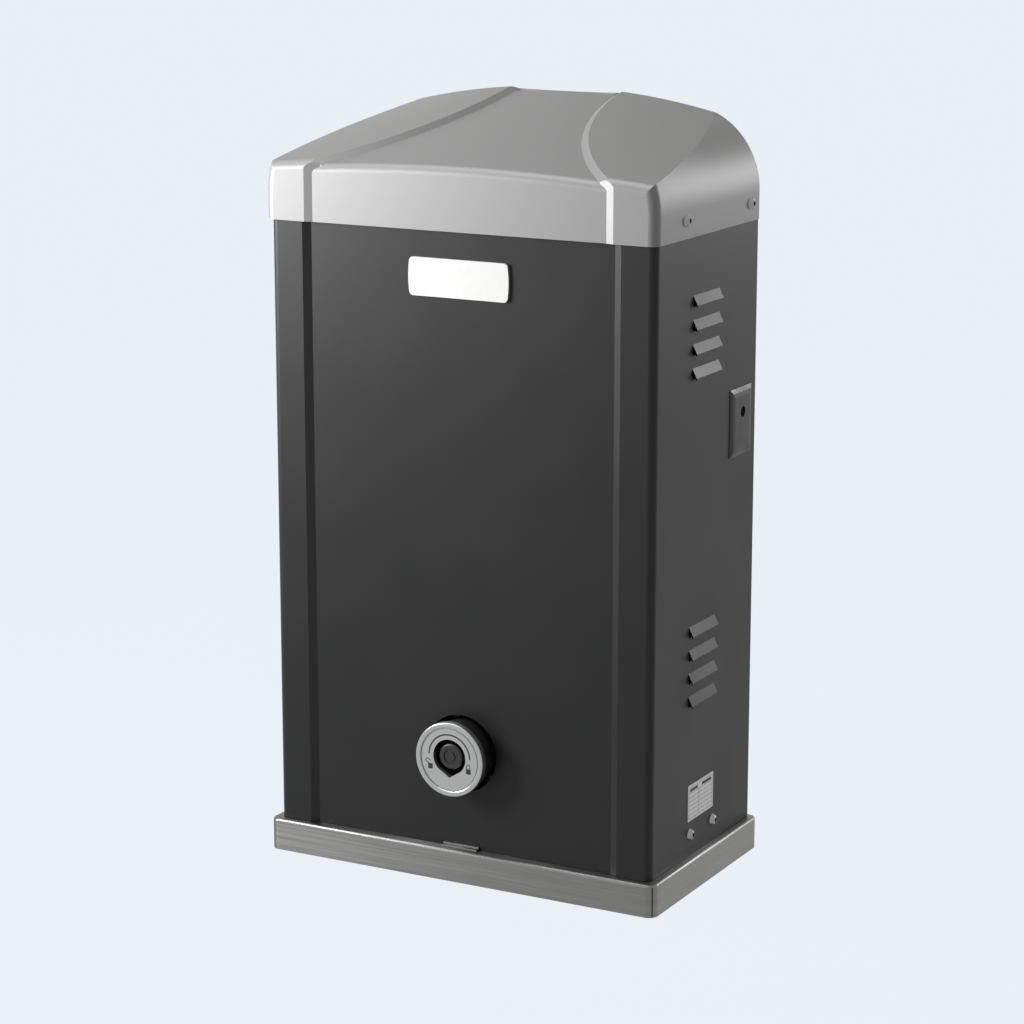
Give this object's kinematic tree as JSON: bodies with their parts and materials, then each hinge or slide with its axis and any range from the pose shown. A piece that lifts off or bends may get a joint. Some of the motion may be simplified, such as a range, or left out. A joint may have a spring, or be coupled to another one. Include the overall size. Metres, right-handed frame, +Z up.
{
  "type": "sliding gate motor",
  "caption": "Upright sliding gate motor: sheet cabinet with sloped roof cap on a plinth, worm gearbox and motor inside, rack pinion behind, release lock in front.",
  "frame": {"origin": "centre of the four anchor holes, on the underside of the base plate", "axes": "+X to the right of someone facing the front, +Y towards the gate and its rack, +Z up"},
  "size_m": [0.374, 0.2583, 0.6579],
  "materials": {
    "cabinet_paint": "satin powder coat",
    "cap_finish": "fine silver texture",
    "stainless": "brushed",
    "badge_white": "gloss",
    "label_foil": "matt foil",
    "zinc_screws": "zinc plated",
    "black_plastic": "satin",
    "lock_chrome": "polished",
    "release_silver": "silver lacquer",
    "cast_aluminium": "as cast",
    "cast_base": "painted casting",
    "bronze": "machined",
    "gear_steel": "machined",
    "zinc_sheet": "zinc plated sheet",
    "laminations": "laminated",
    "copper": "enamelled wire",
    "case_grey": "fine texture",
    "board_green": "solder resist",
    "seal_rubber": "matt"
  },
  "bodies": {
    "base": {"base_plate": "cast_base", "plinth_skirt": "stainless", "levelling_screws": "zinc_screws", "rear_panel": "zinc_sheet", "lock_catch": "zinc_sheet", "shelf_bracket": "zinc_sheet", "control_case": "case_grey", "control_lid": "case_grey", "control_board": "board_green", "cable_glands": "black_plastic", "transformer_core": "laminations", "transformer_coil": "copper", "din_rail": "zinc_sheet", "terminal_block": "case_grey", "gearbox_housing": "cast_aluminium", "gearbox_cover": "cast_aluminium", "gearbox_bolts": "zinc_screws", "foot_bolts": "zinc_screws", "oil_plugs": "gear_steel", "output_bearings": "gear_steel", "worm_bearings": "gear_steel", "output_seal": "seal_rubber", "motor_flange": "cast_aluminium", "motor_bolts": "zinc_screws", "motor_housing": "cast_aluminium", "stator_core": "laminations", "stator_windings": "copper", "motor_end_shield": "cast_aluminium", "fan_cowl": "zinc_sheet", "release_collar": "black_plastic", "release_bezel": "release_silver", "limit_switch_box": "black_plastic"},
    "motor_rotor": {"worm_shaft": "gear_steel", "rotor_core": "laminations", "cooling_fan": "black_plastic"},
    "output": {"output_shaft": "gear_steel", "worm_wheel": "bronze", "wheel_spacer": "gear_steel", "drive_pinion": "gear_steel", "pinion_retainer": "gear_steel"},
    "clutch": {"clutch_sleeve": "gear_steel", "shift_rod": "gear_steel"},
    "release": {"release_cylinder": "black_plastic"},
    "limit_lever": {"limit_lever_hub": "gear_steel", "limit_lever_rod": "gear_steel"},
    "cover": {"cabinet_shell": "cabinet_paint", "roof_cap": "cap_finish", "name_badge": "badge_white", "rating_label": "label_foil", "cap_screws": "zinc_screws", "base_screws": "zinc_screws", "cover_nuts": "zinc_screws", "slide_rails": "zinc_sheet", "pull_tab": "stainless", "lock_plate": "black_plastic"},
    "cover_lock": {"lock_cylinder": "lock_chrome", "lock_nut": "zinc_screws", "lock_cam": "zinc_screws"}
  },
  "joints": [
    {"name": "cover_slide", "type": "slide", "parent": "base", "child": "cover", "axis": [0, -1, 0], "range_m": [0, 0.26]},
    {"name": "cover_lock_turn", "type": "hinge", "parent": "cover", "child": "cover_lock", "pos_m": [0.161, 0.068, 0.397], "axis": [1, 0, 0], "range_deg": [0, 90]},
    {"name": "motor_turn", "type": "hinge", "parent": "base", "child": "motor_rotor", "pos_m": [-0.062, 0, 0.115], "axis": [0, 0, 1], "continuous": true},
    {"name": "output_turn", "type": "hinge", "parent": "base", "child": "output", "pos_m": [0, 0, 0.115], "axis": [0, 1, 0], "continuous": true},
    {"name": "clutch_shift", "type": "slide", "parent": "output", "child": "clutch", "axis": [0, -1, 0], "range_m": [0, 0.006]},
    {"name": "release_turn", "type": "hinge", "parent": "base", "child": "release", "pos_m": [0, -0.1, 0.115], "axis": [0, 1, 0], "range_deg": [0, 170]},
    {"name": "limit_lever_tilt", "type": "hinge", "parent": "base", "child": "limit_lever", "pos_m": [0, 0.1, 0.215], "axis": [0, 1, 0], "range_deg": [-30, 30], "stiffness_Nm_per_rad": 0.3}
  ],
  "couplings": [
    {"joint": "output_turn", "follows": "motor_turn", "ratio": -0.033333},
    {"joint": "release_turn", "follows": "clutch_shift", "rad_per_m": 494.5}
  ]
}
